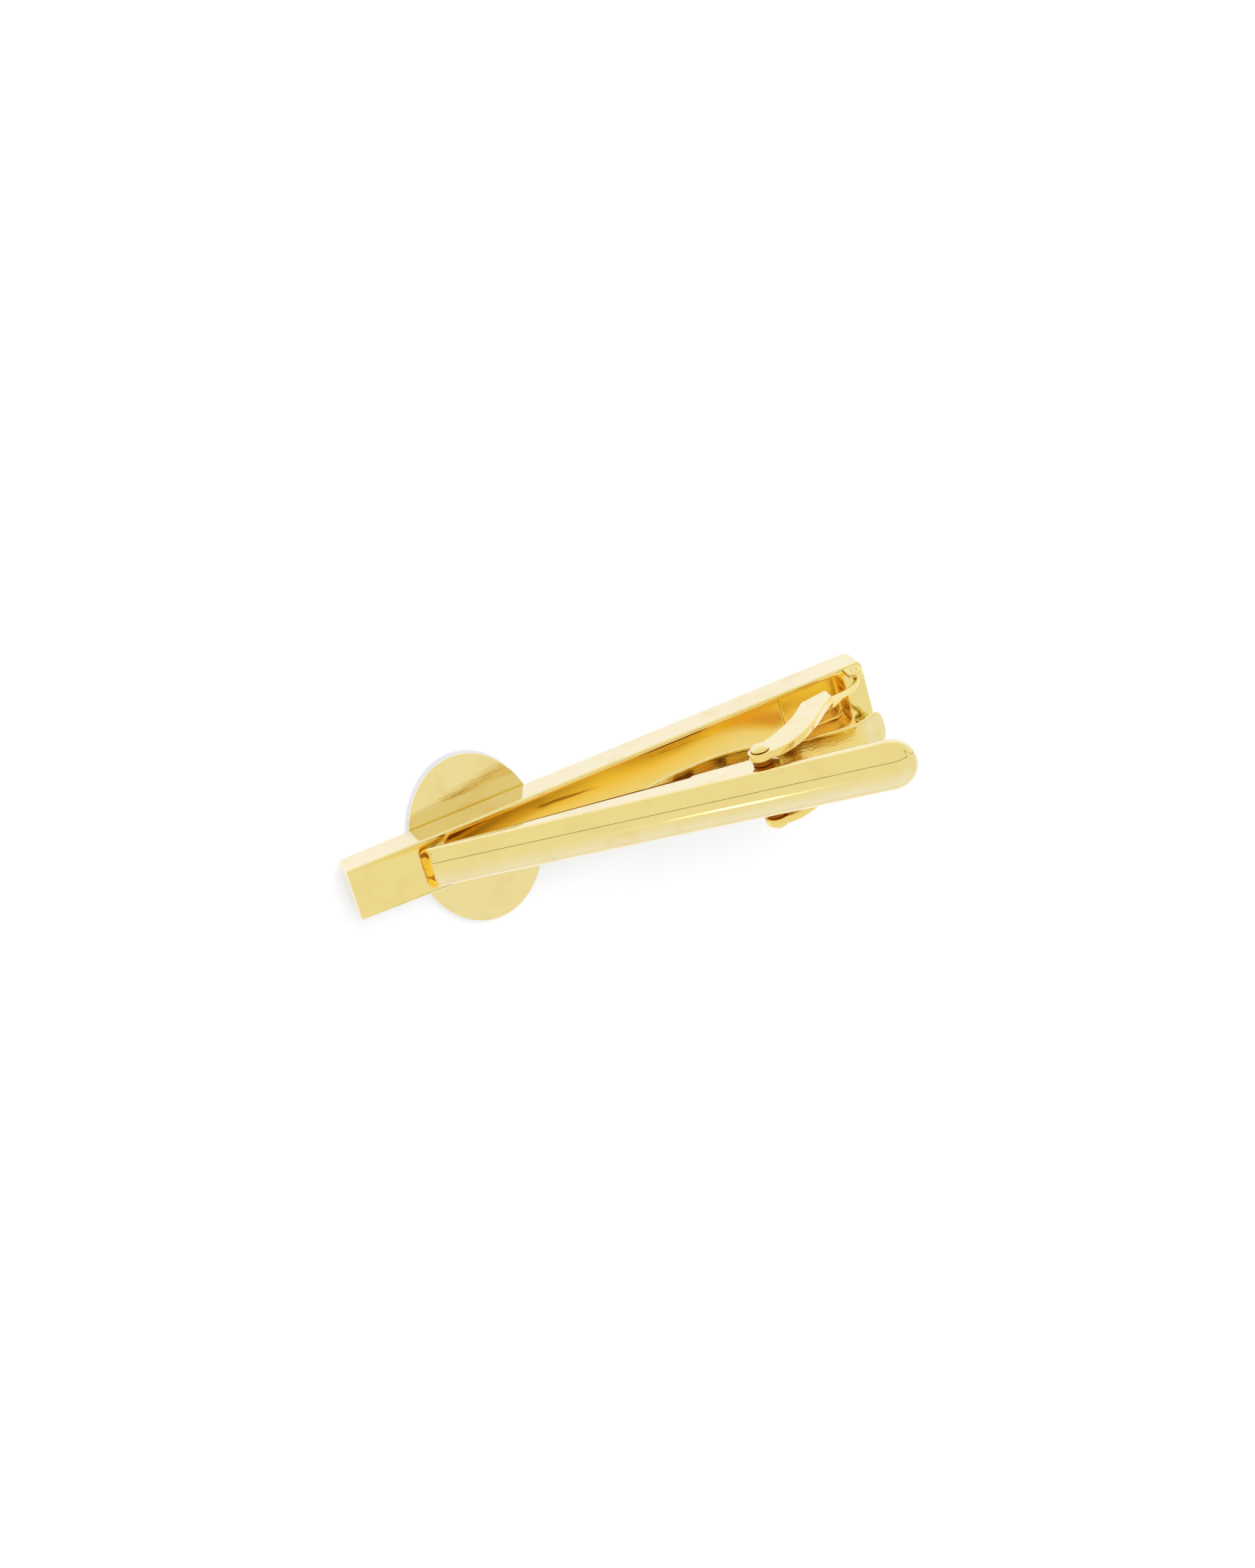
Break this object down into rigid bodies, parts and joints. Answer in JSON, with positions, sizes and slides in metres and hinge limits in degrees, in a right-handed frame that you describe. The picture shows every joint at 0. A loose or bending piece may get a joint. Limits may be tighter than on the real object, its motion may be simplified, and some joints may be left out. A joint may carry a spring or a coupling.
{
  "type": "tie clip",
  "caption": "Toggle tie clip: a hollow-backed bar with an oval emblem, and a domed spring arm on a riveted link that swings over and snaps flat to grip a tie.",
  "frame": {"origin": "on the emblem's front face, in the middle of its width and on the middle line of the bar", "axes": "+X along the bar towards the hinge end, +Y across the bar, +Z out of the bar's back towards the arm"},
  "size_m": [0.06, 0.0198, 0.0244],
  "materials": {
    "gold": "mirror-polished pale yellow gold plate",
    "silver": "polished silver-coloured plate"
  },
  "bodies": {
    "bar": {"front_bar": "gold", "emblem_plate": "gold", "emblem_face": "silver"},
    "link": {"link_cheek_left": "gold", "link_cheek_right": "gold", "link_wire_left": "gold", "link_wire_right": "gold", "pivot_rivet_left": "gold", "pivot_rivet_right": "gold", "spacer_washer_left": "gold", "spacer_washer_right": "gold"},
    "arm": {"arm_shell": "gold", "leaf_foot": "gold"},
    "leaf": {"leaf_blade": "gold"}
  },
  "joints": [
    {"name": "link_hinge", "type": "hinge", "parent": "bar", "child": "link", "pos_m": [0.04375, 0, 0.0059], "axis": [0, -1, 0], "range_deg": [0, 33.6]},
    {"name": "arm_pivot", "type": "hinge", "parent": "link", "child": "arm", "pos_m": [0.02836, 0, 0.01704], "axis": [0, -1, 0], "range_deg": [-49.91, 0]},
    {"name": "leaf_flex", "type": "hinge", "parent": "arm", "child": "leaf", "pos_m": [0.01183, 0, 0.01211], "axis": [0, -1, 0], "range_deg": [0, 15.3]}
  ],
  "couplings": [
    {"joint": "arm_pivot", "follows": "link_hinge", "ratio": -1.4852},
    {"joint": "leaf_flex", "follows": "link_hinge", "ratio": 0.455}
  ]
}
